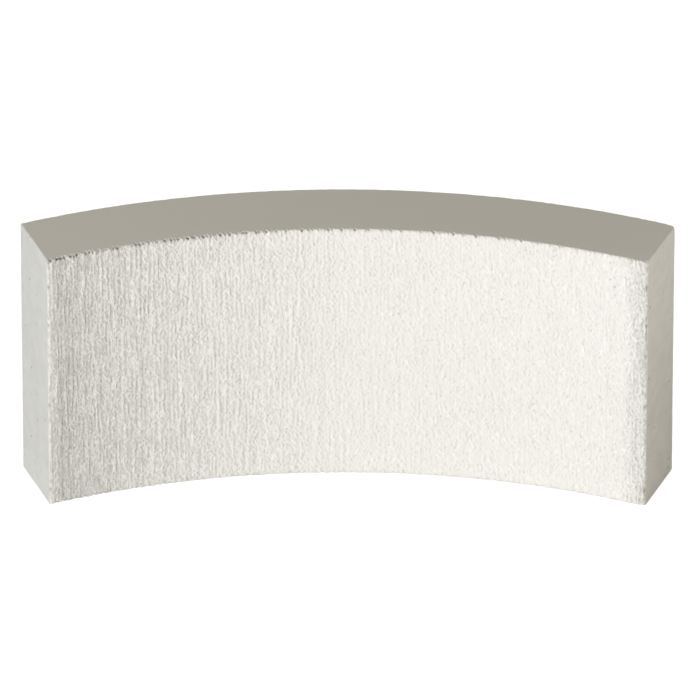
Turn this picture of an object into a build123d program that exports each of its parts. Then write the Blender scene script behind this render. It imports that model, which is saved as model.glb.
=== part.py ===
from build123d import *
import os

# Aerated concrete segment block: one curved block of a round wall, standing on its bed face.
# Millimetres, +Z up. The concave face looks towards -Y, the convex face towards +Y.
# The origin is the middle of the block's box, at the level of the bed.

# Driving dimensions
segments_in_ring = 8
inner_radius = 665.0
wall_thickness = 65.0
course_height = 250.0
arris_wear = 1.0

# Sizes that follow from them
outer_radius = inner_radius + wall_thickness
segment_angle = 360.0 / segments_in_ring

# The plan of the block is one eighth of a ring, centred on the Y axis.
# Its two end faces lie on radii of the ring, so neighbouring blocks meet flat.
wedge_reach = 2 * outer_radius
ring = Circle(outer_radius) - Circle(inner_radius)
right_radius = Vector(0, wedge_reach).rotate(Axis.Z, -segment_angle / 2)
left_radius = Vector(0, wedge_reach).rotate(Axis.Z, segment_angle / 2)
wedge = make_face(Polyline((0, 0), right_radius, left_radius, close=True))
plan = ring & wedge

# The plan is raised to the height of one course
block = extrude(plan, amount=course_height)

# Handling rubs every arris of the soft concrete down to a small round
block = fillet(block.edges(), radius=arris_wear)

# The ring's centre is moved back so that the block's own box is centred on the origin
box = block.bounding_box()
block = Pos(-box.center().X, -box.center().Y, -box.min.Z) * block

# One closed solid, one piece of stock
segment_block = block.solid()
segment_block.label = "segment_block"

os.makedirs("parts", exist_ok=True)
export_step(segment_block, "parts/segment_block.step")
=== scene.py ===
import math

import bmesh
import bpy
from mathutils import Matrix, Vector, noise


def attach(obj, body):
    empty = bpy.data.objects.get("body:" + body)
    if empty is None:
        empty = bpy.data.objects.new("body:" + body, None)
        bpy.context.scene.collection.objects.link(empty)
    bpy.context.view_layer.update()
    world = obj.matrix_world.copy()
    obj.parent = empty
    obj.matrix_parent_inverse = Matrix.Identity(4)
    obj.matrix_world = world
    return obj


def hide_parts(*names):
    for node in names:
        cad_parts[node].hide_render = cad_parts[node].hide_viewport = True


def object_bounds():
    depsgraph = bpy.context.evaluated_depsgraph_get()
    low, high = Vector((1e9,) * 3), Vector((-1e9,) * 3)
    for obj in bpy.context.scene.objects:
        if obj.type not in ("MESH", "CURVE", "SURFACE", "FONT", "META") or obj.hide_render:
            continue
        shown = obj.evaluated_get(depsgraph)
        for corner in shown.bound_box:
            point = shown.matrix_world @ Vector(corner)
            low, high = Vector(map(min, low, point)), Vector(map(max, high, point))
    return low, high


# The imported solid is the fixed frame; its box gives the block's height and where the ring's centre lies
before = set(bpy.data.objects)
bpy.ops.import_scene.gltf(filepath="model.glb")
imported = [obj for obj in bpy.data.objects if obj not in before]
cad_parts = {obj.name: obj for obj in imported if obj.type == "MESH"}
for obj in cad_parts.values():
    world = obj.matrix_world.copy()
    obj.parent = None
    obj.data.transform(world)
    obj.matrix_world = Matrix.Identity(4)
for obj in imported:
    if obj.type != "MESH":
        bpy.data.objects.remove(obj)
cad_low, cad_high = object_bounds()

# Driving sizes of the block, in metres
mm = 0.001
segments_in_ring = 8
inner_radius = 665 * mm
wall_thickness = 65 * mm
course_height = cad_high.z - cad_low.z

# Sizes that follow from them
outer_radius = inner_radius + wall_thickness
segment_angle = 2 * math.pi / segments_in_ring
ring_centre = Vector((0, cad_high.y - outer_radius, 0))

# How finely the relief is modelled: strokes along the arc, cuts in each, steps up and through the wall
arc_strokes = 24
arc_cuts = 24
arc_steps = arc_strokes * (arc_cuts + 1)
course_steps = 70
wall_steps = 10

# The first points beside each arris, in millimetres from it, close together for its round and its slots
arris_marks = (0, 0.5, 1.2, 2.2, 4.0)

# The cut faces lie this many millimetres inside the solid, so that ribs stand out of them and furrows go in
cut_depth = 0.8

# The right end of the concave face is rubbed hollow: over what width and how deep, in millimetres
roll_off_width = 15
roll_off_depth = 1.7

# The radii of the arrises in millimetres: everywhere, what crumbs add, and what a knock adds at one corner
worn_radius = 1.1
crumbled_radius = 1.8
crumb_length = 5
knocked_radius = 2.2
knock_reach = 6

# The slots torn in the concave face's arrises, in millimetres: how far from the arris they reach, how deep
# they go, how far apart the wide and the thin ones lie, how far below the top they are torn hardest, and how
# near an end or a bed they slant inwards
slot_reach = 3.0
slot_depth = 2.4
wide_spacing = 2.8
thin_spacing = 1.5
hard_torn_reach = 5
slant_reach = 3.2

# The grooves of the two curved faces are different layers of the same noise
concave_layer = 0
convex_layer = 100

# The convex face isn't seen in the photograph: how hard it is torn, from 0 to 1, and the place right of the
# concave face's middle whose finish it has
convex_bite = 0.2
plain_place = 20 * mm

# Places on the concave face, from its middle: its left end, where the painted shade at its left end stops,
# where the marks are faintest, where they come to stand singly, and where the rubbed right end starts and is
# roughest
left_end = -250 * mm
painted_shade_until = -200 * mm
faintest = 0 * mm
marks_single = 100 * mm
rubbed_from = 230 * mm
rubbed_to = 250 * mm


def marks_along(length, steps):
    """Marks from 0 to a length in millimetres: close together at both arrises, even between them."""
    close = len(arris_marks) - 1
    reach = arris_marks[-1]
    even = steps - 2 * close
    between = [reach + (length - 2 * reach) * i / even for i in range(1, even)]
    return [*arris_marks, *between, *(length - m for m in reversed(arris_marks))]


def turn_of(point):
    """How far round the block a point lies: 0 at the left end, 1 at the right end."""
    arm = point.co - ring_centre
    return math.atan2(arm.x, arm.y) / segment_angle + 0.5


def uncut_blank():
    """The block's bare shape: the wall's section as a grid, swept along the ring and closed at both ends."""
    blank = bmesh.new()
    bmesh.ops.create_grid(blank, x_segments=wall_steps, y_segments=course_steps, size=0.5)
    outward = Matrix.Rotation(segment_angle / 2, 3, "Z") @ Vector((0, 1, 0))
    middle = ring_centre + outward * (inner_radius + wall_thickness / 2) + Vector((0, 0, course_height / 2))
    along = outward.cross(Vector((0, 0, 1)))
    stand = Matrix((outward * wall_thickness, Vector((0, 0, course_height)), along)).transposed().to_4x4()
    bmesh.ops.transform(blank, matrix=Matrix.Translation(middle) @ stand, verts=blank.verts)
    section = blank.verts[:] + blank.edges[:] + blank.faces[:]
    bmesh.ops.spin(
        blank, geom=section, cent=ring_centre, axis=(0, 0, 1), angle=-segment_angle,
        steps=arc_strokes, use_merge=False)
    half_stroke = 0.5 / arc_strokes
    strokes = [
        edge for edge in blank.edges
        if abs(turn_of(edge.verts[0]) - turn_of(edge.verts[1])) > half_stroke]
    bmesh.ops.subdivide_edges(blank, edges=strokes, cuts=arc_cuts, use_grid_fill=False)
    bmesh.ops.recalc_face_normals(blank, faces=blank.faces)
    return blank


def uneven(along, up, width, height, layer):
    """Smooth seeded unevenness from -1 to 1, in cells of a width and a height in millimetres."""
    return noise.noise(Vector((along / width, up / height, layer)))


def left_bite(share):
    """How hard the wire tore the soft cake, from 0 to 1, at a share of the block's length from the left."""
    return (1 - share) ** 3


def groove_depth(along, up, layer, bite):
    """How deep the wire's upright grooves lie at a point of a curved face, in millimetres."""
    wander = 1.4 * uneven(along, up, width=30, height=35, layer=layer)
    band = uneven(along, up, width=7, height=300, layer=layer + 5)
    long_groove = uneven(along + wander, up, width=2.5, height=180, layer=layer + 11)
    groove = uneven(along + wander, up, width=2.1, height=20, layer=layer + 17)
    depth = (0.04 + 0.4 * bite) * band + (0.06 + 1.3 * bite) * long_groove + (0.08 + 0.35 * bite) * groove
    # The grooves start shallow at the left arris and have their whole depth a few millimetres in
    from_arris = min(1, 0.3 + along / 6)
    return max(0, cut_depth + depth * from_arris)


def rolled_off(along, length):
    """How far the concave face falls away towards its right end, in millimetres."""
    near = max(0, 1 - (length - along) / roll_off_width)
    return roll_off_depth * near * near


def arris_wear(place, knocked_corner):
    """The radius to which handling has rubbed the arris nearest to a point, in millimetres."""
    crumbs = noise.noise(place / crumb_length + Vector((0, 40, 0)))
    calmer_behind = 0.015 * place.y
    knocked = max(0, 1 - (place - knocked_corner).length / knock_reach)
    return worn_radius + (crumbled_radius - calmer_behind) * max(0, crumbs) + knocked_radius * knocked


def arris_notch(along, up, across, length, height):
    """How deep a point lies in one of the slots that the grooves tear in the concave face's arrises.

    They are deepest at the left of the top arris, where the wire bit first.
    """
    from_end = min(along, length - along)
    from_bed = min(up, height - up)
    away = math.hypot(min(from_end, from_bed), across)
    if away > slot_reach:
        return 0
    run = along if from_bed < from_end else up
    layer = 0 if up > height / 2 else 50
    wide = noise.noise(Vector((run / wide_spacing, 3, layer)))
    thin = noise.noise(Vector((run / thin_spacing, 9, layer)))
    bite = left_bite(along / length) if up > height - hard_torn_reach else 0
    slot = (2.5 + 15 * bite) * max(0, wide - 0.02) + (2.0 + 7 * bite) * max(0, thin)
    return min(slot_depth, slot) * (1 - away / slot_reach)


def rubbed(place, low, high, wear):
    """Where a point of the sharp block from low to high lands once its arrises are rubbed round."""
    core = Vector([min(max(p, a + wear), b - wear) for p, a, b in zip(place, low, high)])
    rise = place - core
    if rise.length > wear:
        return core + rise * (wear / rise.length)
    return place


def cut_and_rub(blank):
    """Moves every point of the blank onto the wire-cut faces and the rubbed arrises.

    Each point keeps two values for the material: how deep it lies in a slot, which paints shade into the
    slot, and how far from the middle.
    """
    wall = wall_thickness / mm
    height = course_height / mm
    up_marks = marks_along(height, course_steps)
    wall_marks = marks_along(wall, wall_steps)
    middle_arc = (inner_radius + wall_thickness / 2) * segment_angle / mm
    arc_marks = marks_along(middle_arc, arc_steps)
    torn = blank.verts.layers.float.new("torn")
    from_middle = blank.verts.layers.float.new("from_middle")
    for point in blank.verts:
        # The point's place on the sharp block, in millimetres along the arc, across the wall and up
        arm = point.co - ring_centre
        radius = math.hypot(arm.x, arm.y)
        share = arc_marks[round(turn_of(point) * arc_steps)] / middle_arc
        across = wall_marks[round((radius - inner_radius) / wall_thickness * wall_steps)]
        up = up_marks[round(arm.z / course_height * course_steps)]
        length = (inner_radius / mm + across) * segment_angle
        along = share * length

        # The wire cuts both curved faces, and handling rubs the arrises
        front = groove_depth(share * middle_arc, up, concave_layer, left_bite(share))
        front += rolled_off(along, length)
        back = groove_depth(share * middle_arc, up, convex_layer, convex_bite)
        notch = arris_notch(along, up, across, length, height)
        across = front + (wall - front - back) * across / wall
        place = Vector((along, across, up))
        wear = arris_wear(place, Vector((length, wall, height)))
        place = rubbed(place, Vector((0, front, 0)), Vector((length, wall - back, height)), wear)

        # A slot is torn into the block, slanting inwards near an end or a bed
        to_middle = Vector((length / 2, wall / 2, height / 2)) - place
        near_end = min(along, length - along) < slant_reach
        near_bed = min(up, height - up) < slant_reach
        into = Vector((math.copysign(near_end, to_middle.x), 1, math.copysign(near_bed, to_middle.z)))
        place += into.normalized() * notch
        # The slot's depth, kept to paint shade into the slot
        point[torn] = notch / slot_depth

        # Back from the arc's length to the ring
        angle = (place.x / length - 0.5) * segment_angle
        reach = inner_radius + place.y * mm
        point.co = ring_centre + Vector((reach * math.sin(angle), reach * math.cos(angle), place.z * mm))
        point[from_middle] = point.co.x if place.y < wall / 2 else plain_place


def linear(code):
    """An sRGB hex colour as linear red, green, blue and alpha."""
    parts = [int(code[i:i + 2], 16) / 255 for i in (1, 3, 5)]
    return [p / 12.92 if p <= 0.04045 else ((p + 0.055) / 1.055) ** 2.4 for p in parts] + [1]


def add(tree, kind, inputs=None, **settings):
    """Adds one node with its settings; an input is a value or another node's output."""
    node = tree.nodes.new(kind)
    for name, value in settings.items():
        setattr(node, name, value)
    for name, value in (inputs or {}).items():
        if isinstance(value, bpy.types.NodeSocket):
            tree.links.new(value, node.inputs[name])
        else:
            node.inputs[name].default_value = value
    return node


def bare_material(name):
    """A new material with an empty node tree and its output."""
    material = bpy.data.materials.new(name)
    material.use_nodes = True
    material.node_tree.nodes.clear()
    return material, material.node_tree, material.node_tree.nodes.new("ShaderNodeOutputMaterial")


# Concrete fresh from the cut: raised marks lighter, partly chalky and partly a painted highlight, hollows
# darker as painted shade, the smooth faces' own colour, and a grey for dust specks and for the painted shade
# in pores, slots and the left end
chalky_highlight_skin = "#FEFDFA"
hollow_shade_skin = "#E6E5DF"
smooth_skin = "#F1F0EA"
dust_and_shade_grey = "#77736A"


def matt_skin(tree, out, shade, height, distance):
    """Dead matt concrete of a shade, with a fine relief that is drawn as bump."""
    bump = add(tree, "ShaderNodeBump", {"Height": height, "Distance": distance, "Strength": 1.0})
    shader = add(tree, "ShaderNodeBsdfPrincipled", {
        "Base Color": shade, "Roughness": 0.95, "Specular IOR Level": 0.2, "Normal": bump.outputs["Normal"]})
    tree.links.new(shader.outputs["BSDF"], out.inputs["Surface"])


def crisp_marks(tree, pattern, band):
    """A noise pattern as single crisp marks, raised ones at 1 and sunk ones at -1, on a plain ground at 0."""
    off = add(tree, "ShaderNodeMath", {0: pattern, 1: 0.5}, operation="SUBTRACT").outputs[0]
    size = add(tree, "ShaderNodeMath", {0: off}, operation="ABSOLUTE").outputs[0]
    past = add(tree, "ShaderNodeMath", {0: size, 1: band}, operation="SUBTRACT").outputs[0]
    mark = add(tree, "ShaderNodeMapRange", {"Value": past, "From Max": 0.07}).outputs["Result"]
    way = add(tree, "ShaderNodeMath", {0: off}, operation="SIGN").outputs[0]
    return add(tree, "ShaderNodeMath", {0: mark, 1: way}, operation="MULTIPLY").outputs[0]


def torn_marks(tree, place, length, width, band):
    """Upright marks of a length and a width; beside each raised one lies its furrow, as beside a burr."""
    sides = []
    for beside in (0, 2.1 * mm):
        upright = add(tree, "ShaderNodeMapping", {
            "Vector": place, "Location": (beside, 0, 0), "Scale": (1, 1, width / length)}).outputs["Vector"]
        pattern = add(tree, "ShaderNodeTexNoise", {"Vector": upright, "Scale": 1 / width, "Detail": 0.0})
        sides.append(crisp_marks(tree, pattern.outputs["Fac"], band))
    burr, furrow = sides
    return add(tree, "ShaderNodeMath", {0: furrow, 1: -0.6, 2: burr}, operation="MULTIPLY_ADD").outputs[0]


def open_pores(tree, place, cell, widest, rim, strength):
    """Round pores, one in every second cell: a strength inside, 0 outside, and a chance shade for each."""
    cells = add(tree, "ShaderNodeTexVoronoi", {"Vector": place, "Scale": 1 / cell, "Randomness": 1.0})
    chance = add(tree, "ShaderNodeSeparateColor", {"Color": cells.outputs["Color"]}).outputs
    reach = add(tree, "ShaderNodeMapRange", {"Value": chance["Red"], "From Min": 0.5, "To Max": widest})
    depth = add(tree, "ShaderNodeMath", {
        0: reach.outputs["Result"], 1: cells.outputs["Distance"]}, operation="SUBTRACT").outputs[0]
    pore = add(tree, "ShaderNodeMapRange", {"Value": depth, "From Max": rim, "To Max": strength})
    return pore.outputs["Result"], chance["Green"]


def wire_marks(tree, place, left):
    """The height of the marks that the wire left on a cut face, before it is made bold or faint.

    Real ribs and crumbs go down to less than a millimetre; all are drawn as coarse as they need to show.
    """
    # They lie close together at the left end, where the wire bit first, and stand singly towards the right
    plain = add(tree, "ShaderNodeMapRange", {
        "Value": left, "From Min": left_end, "From Max": marks_single, "To Min": 0.06, "To Max": 0.12})
    dotted = add(tree, "ShaderNodeMapRange", {
        "Value": left, "From Min": left_end, "From Max": marks_single, "To Min": 0.1, "To Max": 0.14})
    # Upright ribs and furrows under 2 mm wide: long ones of some 30 mm and short ones of 9 mm
    ribs = torn_marks(tree, place, 30 * mm, 1.8 * mm, plain.outputs["Result"])
    strokes = torn_marks(tree, place, 9 * mm, 1.9 * mm, plain.outputs["Result"])
    # Torn crumbs under 2 mm wide and 3 mm high, standing out a little more in some tall patches
    crumbs = torn_marks(tree, place, 3.2 * mm, 1.75 * mm, dotted.outputs["Result"])
    tall = add(tree, "ShaderNodeMapping", {"Vector": place, "Scale": (1, 1, 0.15)}).outputs["Vector"]
    patch = add(tree, "ShaderNodeTexNoise", {"Vector": tall, "Scale": 1 / (9 * mm), "Detail": 0.0})
    patch = add(tree, "ShaderNodeMapRange", {
        "Value": patch.outputs["Fac"], "From Min": 0.38, "From Max": 0.62, "To Min": 0.1, "To Max": 0.13})
    # A few slanting drag marks, some 9 mm long, where a grain was pulled across the face
    slant = add(tree, "ShaderNodeMapping", {
        "Vector": place, "Rotation": (0, -0.5, 0), "Scale": (1, 1, 5)}, vector_type="TEXTURE")
    drag = add(tree, "ShaderNodeTexNoise", {
        "Vector": slant.outputs["Vector"], "Scale": 1 / (1.8 * mm), "Detail": 0.0})
    drag = add(tree, "ShaderNodeMapRange", {
        "Value": drag.outputs["Fac"], "From Min": 0.6, "From Max": 0.68, "To Max": 0.08}).outputs["Result"]
    # The sum of them all; the ribs weigh most at the left end
    crumb_height = patch.outputs["Result"]
    stroke_height = 0.03
    rib_height = add(tree, "ShaderNodeMapRange", {
        "Value": left, "From Min": left_end, "From Max": marks_single, "To Min": 0.08, "To Max": 0.038})
    marks = add(tree, "ShaderNodeMath", {0: crumbs, 1: crumb_height}, operation="MULTIPLY").outputs[0]
    marks = add(tree, "ShaderNodeMath", {
        0: strokes, 1: stroke_height, 2: marks}, operation="MULTIPLY_ADD").outputs[0]
    marks = add(tree, "ShaderNodeMath", {
        0: ribs, 1: rib_height.outputs["Result"], 2: marks}, operation="MULTIPLY_ADD").outputs[0]
    return add(tree, "ShaderNodeMath", {0: marks, 1: drag}, operation="ADD").outputs[0]


def wire_cut_concrete():
    """Aerated concrete cut by a drawn wire before it was cured.

    It is creamy white and dead matt, finely ribbed upwards and open-pored.
    """
    material, tree, out = bare_material("wire_cut_aerated_concrete")
    place = add(tree, "ShaderNodeTexCoord").outputs["Object"]
    left = add(tree, "ShaderNodeAttribute", attribute_name="from_middle").outputs["Fac"]
    torn = add(tree, "ShaderNodeAttribute", attribute_name="torn").outputs["Fac"]
    # Real pores are about 1 mm wide; these are up to 2 mm, so that they show
    pore, _ = open_pores(tree, place, cell=4 * mm, widest=0.26, rim=0.12, strength=1.0)

    # The marks are boldest at the left end, as the modelled grooves are, and rough at the rubbed right end
    bold = add(tree, "ShaderNodeMapRange", {
        "Value": left, "From Min": left_end, "From Max": faintest, "To Min": 1.8, "To Max": 0.5})
    rough = add(tree, "ShaderNodeMapRange", {
        "Value": left, "From Min": rubbed_from, "From Max": rubbed_to, "To Max": 2.1})
    bold = add(tree, "ShaderNodeMath", {
        0: bold.outputs["Result"], 1: rough.outputs["Result"]}, operation="MAXIMUM").outputs[0]
    marks = wire_marks(tree, place, left)
    relief = add(tree, "ShaderNodeMath", {0: marks, 1: bold}, operation="MULTIPLY").outputs[0]

    # Over the last millimetres before the left arris they are worn low, and pores are sunk between them
    inside = add(tree, "ShaderNodeMapRange", {
        "Value": left, "From Min": -254.5 * mm, "From Max": -247 * mm, "To Min": 0.3}).outputs["Result"]
    height = add(tree, "ShaderNodeMath", {0: relief, 1: inside}, operation="MULTIPLY").outputs[0]
    height = add(tree, "ShaderNodeMath", {0: pore, 1: -0.22, 2: height}, operation="MULTIPLY_ADD").outputs[0]

    # Torn crumbs are painted lighter, partly chalky and partly as a painted highlight, hollows between them
    # darker as painted shade, and pores, slots and the concave face's left end darker as painted shade
    highlight_and_shade = add(tree, "ShaderNodeMapRange", {
        "Value": relief, "From Min": -0.09, "From Max": 0.12}).outputs["Result"]
    skin = add(tree, "ShaderNodeMix", {
        "Factor": highlight_and_shade, "A": linear(hollow_shade_skin), "B": linear(chalky_highlight_skin)}, data_type="RGBA").outputs["Result"]
    # Painted shade: the concave face's left end, turned away from the lamps, is painted darker
    painted_shade_left = add(tree, "ShaderNodeMapRange", {
        "Value": left, "From Min": left_end, "From Max": painted_shade_until, "To Min": 0.1, "To Max": 0.0})
    # Pores and slots are painted darker as painted shade
    dust_and_shade = add(tree, "ShaderNodeMath", {0: pore, 1: 0.15}, operation="MULTIPLY").outputs[0]
    dust_and_shade = add(tree, "ShaderNodeMath", {0: dust_and_shade, 1: painted_shade_left.outputs["Result"]}, operation="ADD").outputs[0]
    dust_and_shade = add(tree, "ShaderNodeMath", {0: torn, 1: dust_and_shade}, operation="MAXIMUM").outputs[0]
    shade = add(tree, "ShaderNodeMix", {
        "Factor": dust_and_shade, "A": skin, "B": linear(dust_and_shade_grey)}, data_type="RGBA").outputs["Result"]
    matt_skin(tree, out, shade, height, 3.0 * mm)
    return material


def smooth_cut_concrete(name, speckle):
    """The same concrete trimmed by a taut wire.

    It is an even, chalky face, plain on the beds and faintly speckled on the ends.
    """
    material, tree, out = bare_material(name)
    place = add(tree, "ShaderNodeTexCoord").outputs["Object"]
    torn = add(tree, "ShaderNodeAttribute", attribute_name="torn").outputs["Fac"]
    grain = add(tree, "ShaderNodeTexNoise", {
        "Vector": place, "Scale": 1 / (2.5 * mm), "Detail": 1.0, "Roughness": 0.5}).outputs["Fac"]
    # Specks of dust and small open pores, 1 to 2 mm wide, some light and some dark
    speck, dark = open_pores(tree, place, cell=6 * mm, widest=0.28, rim=0.08, strength=speckle)
    height = add(tree, "ShaderNodeMath", {0: speck, 1: -6.0, 2: grain}, operation="MULTIPLY_ADD").outputs[0]
    # Faint clouds of dust about 12 mm wide
    cloud = add(tree, "ShaderNodeTexNoise", {"Vector": place, "Scale": 1 / (12 * mm), "Detail": 1.0})
    cloud = add(tree, "ShaderNodeMapRange", {
        "Value": cloud.outputs["Fac"], "From Min": 0.35, "From Max": 0.65, "To Max": 0.12 * speckle})
    dust_and_shade = add(tree, "ShaderNodeMath", {
        0: speck, 1: dark, 2: cloud.outputs["Result"]}, operation="MULTIPLY_ADD").outputs[0]
    # Slots at the arrises are painted darker as painted shade; the specks and clouds are dust
    dust_and_shade = add(tree, "ShaderNodeMath", {0: dust_and_shade, 1: torn}, operation="MAXIMUM").outputs[0]
    shade = add(tree, "ShaderNodeMix", {
        "Factor": dust_and_shade, "A": linear(smooth_skin), "B": linear(dust_and_shade_grey)}, data_type="RGBA")
    matt_skin(tree, out, shade.outputs["Result"], height, 0.05 * mm)
    return material


def finish_of(face):
    """Which material a face takes: 0 on the wire-cut curves, 1 on the beds, 2 on the ends."""
    same_side = 0.6
    middle = face.calc_center_median() - ring_centre
    outward = Vector((middle.x, middle.y, 0)).normalized()
    if abs(face.normal.dot(outward)) > same_side:
        return 0
    return 1 if abs(face.normal.z) > same_side else 2


def segment_block():
    """The finished block as one piece, with its cut faces and its smooth faces in their own materials."""
    shape = uncut_blank()
    cut_and_rub(shape)
    level = 0.9999
    for face in shape.faces:
        face.material_index = finish_of(face)
        face.smooth = abs(face.normal.z) < level
    mesh = bpy.data.meshes.new("segment_block_cut")
    shape.to_mesh(mesh)
    shape.free()
    mesh.materials.append(wire_cut_concrete())
    mesh.materials.append(smooth_cut_concrete("smooth_cut_bed", 0.0))
    mesh.materials.append(smooth_cut_concrete("smooth_cut_end", 0.5))
    piece = bpy.data.objects.new("segment_block_cut", mesh)
    bpy.context.scene.collection.objects.link(piece)
    return piece


block = segment_block()
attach(block, "root")
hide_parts("segment_block")


def seen_rays(tree):
    """1 for the rays that show the surroundings: seen straight, in a gloss or through glass."""
    rays = add(tree, "ShaderNodeLightPath").outputs
    seen = add(tree, "ShaderNodeMath", {
        0: rays["Is Camera Ray"], 1: rays["Is Glossy Ray"]}, operation="MAXIMUM")
    seen = add(tree, "ShaderNodeMath", {
        0: seen.outputs[0], 1: rays["Is Transmission Ray"]}, operation="MAXIMUM")
    return seen.outputs[0]


def pale_floor():
    """A plain white floor that runs out of sight and keeps the block's soft shadow."""
    reach = 60
    just_below = -0.1 * mm
    material, tree, out = bare_material("pale_floor")
    matt = add(tree, "ShaderNodeBsdfDiffuse", {"Color": linear("#E6E6E4")})
    # Where it is seen the floor is lifted to white, more so out of the lamps' reach, from 1 m to 4 m off
    place = add(tree, "ShaderNodeTexCoord").outputs["Object"]
    away = add(tree, "ShaderNodeVectorMath", {0: place}, operation="LENGTH").outputs["Value"]
    lift = add(tree, "ShaderNodeMapRange", {
        "Value": away, "From Min": 1.0, "From Max": 4.0, "To Min": 0.75, "To Max": 0.95}).outputs["Result"]
    glow = add(tree, "ShaderNodeEmission", {"Color": (1, 1, 1, 1), "Strength": lift})
    lifted = add(tree, "ShaderNodeAddShader", {0: matt.outputs[0], 1: glow.outputs[0]})
    mix = add(tree, "ShaderNodeMixShader", {"Fac": seen_rays(tree), 1: matt.outputs[0], 2: lifted.outputs[0]})
    tree.links.new(mix.outputs[0], out.inputs["Surface"])
    shape = bmesh.new()
    bmesh.ops.create_grid(
        shape, x_segments=1, y_segments=1, size=reach, matrix=Matrix.Translation((0, 0, just_below)))
    mesh = bpy.data.meshes.new("floor")
    shape.to_mesh(mesh)
    shape.free()
    mesh.materials.append(material)
    floor = bpy.data.objects.new("floor", mesh)
    bpy.context.scene.collection.objects.link(floor)


def soft_lamp(name, azimuth, elevation, distance, size, power, colour):
    """A square soft lamp that faces the middle of the block from a compass angle and a height."""
    lamp = bpy.data.lights.new(name, "AREA")
    lamp.size = size
    lamp.energy = power
    lamp.color = colour
    holder = bpy.data.objects.new(name, lamp)
    a = math.radians(azimuth)
    e = math.radians(elevation)
    away = Vector((math.sin(a) * math.cos(e), -math.cos(a) * math.cos(e), math.sin(e)))
    holder.location = Vector((0, 0, course_height / 2)) + away * distance
    holder.rotation_mode = "QUATERNION"
    holder.rotation_quaternion = away.to_track_quat("Z", "Y")
    holder.visible_camera = False
    bpy.context.scene.collection.objects.link(holder)


def studio_air():
    """Faint warm light from all round, white where the camera sees it."""
    world = bpy.data.worlds.new("studio")
    bpy.context.scene.world = world
    world.use_nodes = True
    tree = world.node_tree
    tree.nodes.clear()
    air = add(tree, "ShaderNodeBackground", {"Color": (1.0, 0.89, 0.72, 1), "Strength": 0.12})
    white = add(tree, "ShaderNodeBackground", {"Color": (1, 1, 1, 1), "Strength": 1})
    mix = add(tree, "ShaderNodeMixShader", {"Fac": seen_rays(tree), 1: air.outputs[0], 2: white.outputs[0]})
    add(tree, "ShaderNodeOutputWorld", {"Surface": mix.outputs[0]})


def camera():
    """A long lens far off, 33 degrees above the floor, square to the block's chord."""
    # The frame's width and the focal length, both in pixels, then the tilt down and the turn left, in radians
    frame_width = 696
    focal_length = 19090
    tilt_down = 0.58338
    turn_left = 0.00643
    lens = bpy.data.cameras.new("camera")
    lens.sensor_width = 36
    lens.lens = 36 * focal_length / frame_width
    lens.clip_start = 1
    lens.clip_end = 60
    holder = bpy.data.objects.new("camera", lens)
    holder.location = (88 * mm, -13632 * mm, 9122 * mm)
    holder.rotation_euler = (math.pi / 2 - tilt_down, 0, turn_left)
    bpy.context.scene.collection.objects.link(holder)
    bpy.context.scene.camera = holder


pale_floor()
# Each lamp's compass angle and height in degrees, distance and side in metres, power in watts, and tint
soft_lamp("low_left", -60, 6, 3.0, 1.5, 34.2, (0.81, 0.87, 1.0))
soft_lamp("high_left", -60, 62, 3.0, 1.5, 17.4, (1.0, 0.97, 0.88))
soft_lamp("near_front", 0, 8, 1.3, 0.7, 9.9, (1.0, 0.985, 0.96))
soft_lamp("near_right", 78, 16, 0.5, 0.12, 0.13, (1.0, 0.95, 0.88))
soft_lamp("low_back", 180, 10, 3.0, 1.5, 30, (1.0, 0.97, 0.9))
soft_lamp("behind", 160, 0, 2.0, 0.5, 15, (1.0, 0.97, 0.94))
studio_air()
camera()
bpy.context.scene.view_settings.view_transform = "Standard"
